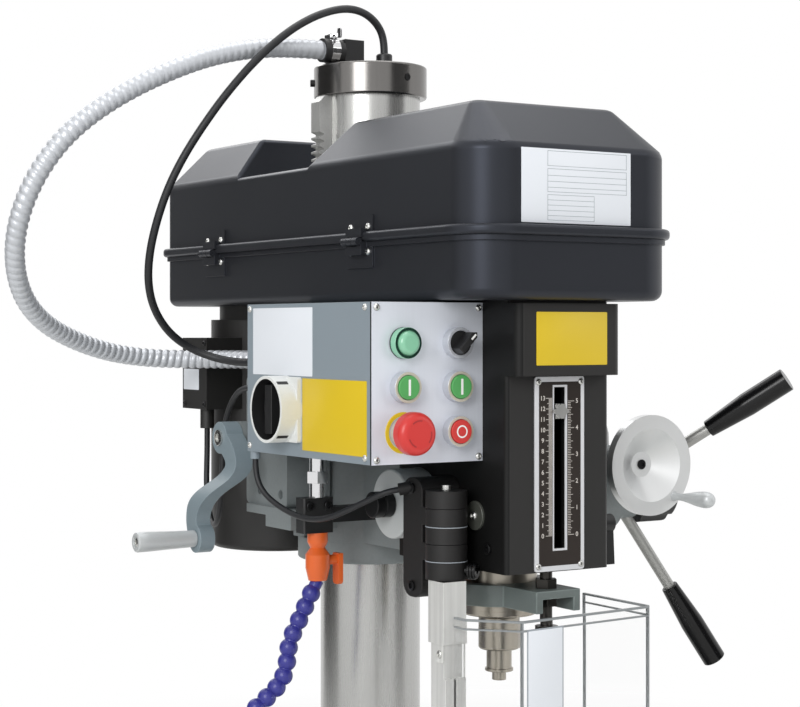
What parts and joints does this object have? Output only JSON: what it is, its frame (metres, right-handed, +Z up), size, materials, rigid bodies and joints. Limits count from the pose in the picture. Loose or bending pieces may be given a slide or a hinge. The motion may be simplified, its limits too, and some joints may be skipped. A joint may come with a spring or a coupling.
{
  "type": "mill drill",
  "caption": "Belt-driven round-column mill drill with rack-raised head, spoke and fine quill feed, hinged belt lid, control box, coolant hose and swinging clear guard.",
  "frame": {"origin": "centre of the four anchor holes, on the underside of the base", "axes": "+Z up along the column, -Y to the front where the operator stands, +X to the operator's right"},
  "size_m": [0.7139, 0.7255, 1.2354],
  "materials": {
    "polished_steel": "ground and polished steel",
    "machine_grey": "smooth grey machine enamel",
    "casting_grey": "grey painted casting",
    "satin_black": "satin black paint",
    "silver_panel": "silver-white panel paint",
    "black_oxide": "black oxide steel",
    "aluminium": "turned and extruded aluminium",
    "chrome": "bright plate",
    "black_plastic": "glossy black plastic",
    "grey_plastic": "pale grey plastic",
    "green_plastic": "green button plastic",
    "lamp_green": "clear pale green lens",
    "red_plastic": "red button plastic",
    "violet_hose": "violet-blue hose beads",
    "orange_plastic": "orange hose nozzle and valve",
    "clear_shield": "clear polycarbonate",
    "black_rubber": "matt black sheath",
    "crank_blue": "blue-grey paint"
  },
  "bodies": {
    "stand": {"base_casting": "casting_grey", "column_foot": "casting_grey", "foot_bolts": "black_oxide", "column": "polished_steel", "column_cap": "black_oxide", "stop_ring": "black_oxide", "column_rack": "polished_steel", "junction_block": "grey_plastic", "flexible_conduit": "grey_plastic", "power_cable": "black_rubber"},
    "head": {"head_casting": "casting_grey", "front_cover": "satin_black", "scale_plate": "silver_panel", "spring_cap": "casting_grey", "worm_housing": "casting_grey", "elevating_gearbox": "casting_grey", "belt_tray": "satin_black", "drive_belt": "black_rubber", "motor_housing": "satin_black", "control_box": "machine_grey", "front_panel": "silver_panel", "button_bezels": "chrome", "pilot_lamp": "lamp_green", "switch_housing": "grey_plastic", "coolant_block": "black_oxide", "coolant_valve": "orange_plastic", "guard_plate": "black_oxide", "guard_cable": "black_rubber", "motor_cable": "black_rubber"},
    "pinion": {"elevating_pinion": "polished_steel"},
    "crank": {"elevating_crank": "crank_blue"},
    "handle": {"crank_handle": "grey_plastic"},
    "lid": {"belt_lid": "satin_black"},
    "quill": {"quill_sleeve": "polished_steel", "spindle_bearings": "polished_steel", "stop_bracket": "black_oxide", "depth_rod": "polished_steel"},
    "feed": {"feed_pinion": "black_oxide", "spoke_hub": "aluminium", "feed_spokes": "polished_steel", "spoke_grips": "black_plastic", "clutch_knob": "black_plastic"},
    "pulley": {"spindle_pulley": "aluminium"},
    "spindle": {"spindle_shaft": "polished_steel", "tool_arbor": "black_oxide"},
    "motor_shaft": {"motor_rotor": "polished_steel", "motor_pulley": "aluminium"},
    "fine_feed_wheel": {"fine_wheel": "aluminium"},
    "reverse": {"reverse_button": "green_plastic"},
    "forward": {"forward_button": "green_plastic"},
    "stop": {"stop_button": "red_plastic"},
    "emergency": {"emergency_button": "red_plastic"},
    "selector": {"selector_knob": "black_plastic"},
    "main_switch": {"switch_knob": "black_plastic"},
    "valve": {"valve_lever": "orange_plastic"},
    "hose": {"coolant_hose": "violet_hose"},
    "lock": {"quill_lock": "satin_black"},
    "guard": {"guard_arm": "aluminium"},
    "shield": {"guard_slide": "aluminium", "guard_shield": "clear_shield"}
  },
  "joints": [
    {"name": "head_raise", "type": "slide", "parent": "stand", "child": "head", "axis": [0, 0, 1], "range_m": [0, 0.1], "deforming": ["flexible_conduit", "power_cable"]},
    {"name": "pinion_turn", "type": "hinge", "parent": "head", "child": "pinion", "pos_m": [-0.085, 0.128, 0.794], "axis": [0, 1, 0], "range_deg": [0, 330]},
    {"name": "crank_turn", "type": "hinge", "parent": "head", "child": "crank", "pos_m": [-0.165, 0.15, 0.765], "axis": [1, 0, 0], "range_deg": [0, 2460]},
    {"name": "handle_spin", "type": "hinge", "parent": "crank", "child": "handle", "pos_m": [-0.238, 0.15, 0.659], "axis": [1, 0, 0], "continuous": true},
    {"name": "lid_open", "type": "hinge", "parent": "head", "child": "lid", "pos_m": [-0.131, 0.1, 0.967], "axis": [0, -1, 0], "range_deg": [0, 90]},
    {"name": "quill_feed", "type": "slide", "parent": "head", "child": "quill", "axis": [0, 0, -1], "range_m": [0, 0.12], "stiffness_N_per_m": 400, "springref_m": -0.25},
    {"name": "feed_turn", "type": "hinge", "parent": "head", "child": "feed", "pos_m": [0, -0.07, 0.708], "axis": [1, 0, 0], "range_deg": [0, 459]},
    {"name": "pulley_spin", "type": "hinge", "parent": "head", "child": "pulley", "pos_m": [0, -0.12, 0.93], "axis": [0, 0, 1], "continuous": true},
    {"name": "spindle_spin", "type": "hinge", "parent": "quill", "child": "spindle", "pos_m": [0, -0.12, 0.6], "axis": [0, 0, 1], "continuous": true},
    {"name": "motor_spin", "type": "hinge", "parent": "head", "child": "motor_shaft", "pos_m": [-0.012, 0.32, 0.8], "axis": [0, 0, 1], "continuous": true},
    {"name": "fine_feed", "type": "hinge", "parent": "head", "child": "fine_feed_wheel", "pos_m": [0.15, -0.15, 0.743], "axis": [0, -1, 0], "continuous": true},
    {"name": "reverse_press", "type": "slide", "parent": "head", "child": "reverse", "axis": [0, 1, 0], "range_m": [0, 0.004], "stiffness_N_per_m": 400},
    {"name": "forward_press", "type": "slide", "parent": "head", "child": "forward", "axis": [0, 1, 0], "range_m": [0, 0.004], "stiffness_N_per_m": 400},
    {"name": "stop_press", "type": "slide", "parent": "head", "child": "stop", "axis": [0, 1, 0], "range_m": [0, 0.004], "stiffness_N_per_m": 400},
    {"name": "emergency_press", "type": "slide", "parent": "head", "child": "emergency", "axis": [0, 1, 0], "range_m": [0, 0.004], "stiffness_N_per_m": 400},
    {"name": "selector_turn", "type": "hinge", "parent": "head", "child": "selector", "pos_m": [-0.092, -0.19, 0.868], "axis": [0, 1, 0], "range_deg": [-90, 0]},
    {"name": "switch_turn", "type": "hinge", "parent": "head", "child": "main_switch", "pos_m": [-0.2, -0.016, 0.802], "axis": [1, 0, 0], "range_deg": [0, 90]},
    {"name": "valve_turn", "type": "hinge", "parent": "head", "child": "valve", "pos_m": [-0.114, 0.0235, 0.644], "axis": [1, 0, 0], "range_deg": [0, 90]},
    {"name": "hose_swing", "type": "hinge", "parent": "head", "child": "hose", "pos_m": [-0.126, 0.0235, 0.62], "axis": [0, 0, 1], "range_deg": [-20, 20]},
    {"name": "lock_turn", "type": "hinge", "parent": "head", "child": "lock", "pos_m": [0.07, -0.19, 0.69], "axis": [1, 0, 0], "range_deg": [-30, 30]},
    {"name": "guard_swing", "type": "hinge", "parent": "head", "child": "guard", "pos_m": [-0.09, -0.161, 0.68], "axis": [0, 0, -1], "range_deg": [0, 100]},
    {"name": "shield_lift", "type": "slide", "parent": "guard", "child": "shield", "axis": [0, 0, 1], "range_m": [0, 0.03]}
  ],
  "couplings": [
    {"joint": "pinion_turn", "follows": "head_raise", "rad_per_m": 57.143},
    {"joint": "crank_turn", "follows": "head_raise", "rad_per_m": 428.57},
    {"joint": "feed_turn", "follows": "quill_feed", "rad_per_m": 66.667},
    {"joint": "spindle_spin", "follows": "pulley_spin", "ratio": 1},
    {"joint": "motor_spin", "follows": "pulley_spin", "ratio": 2}
  ]
}
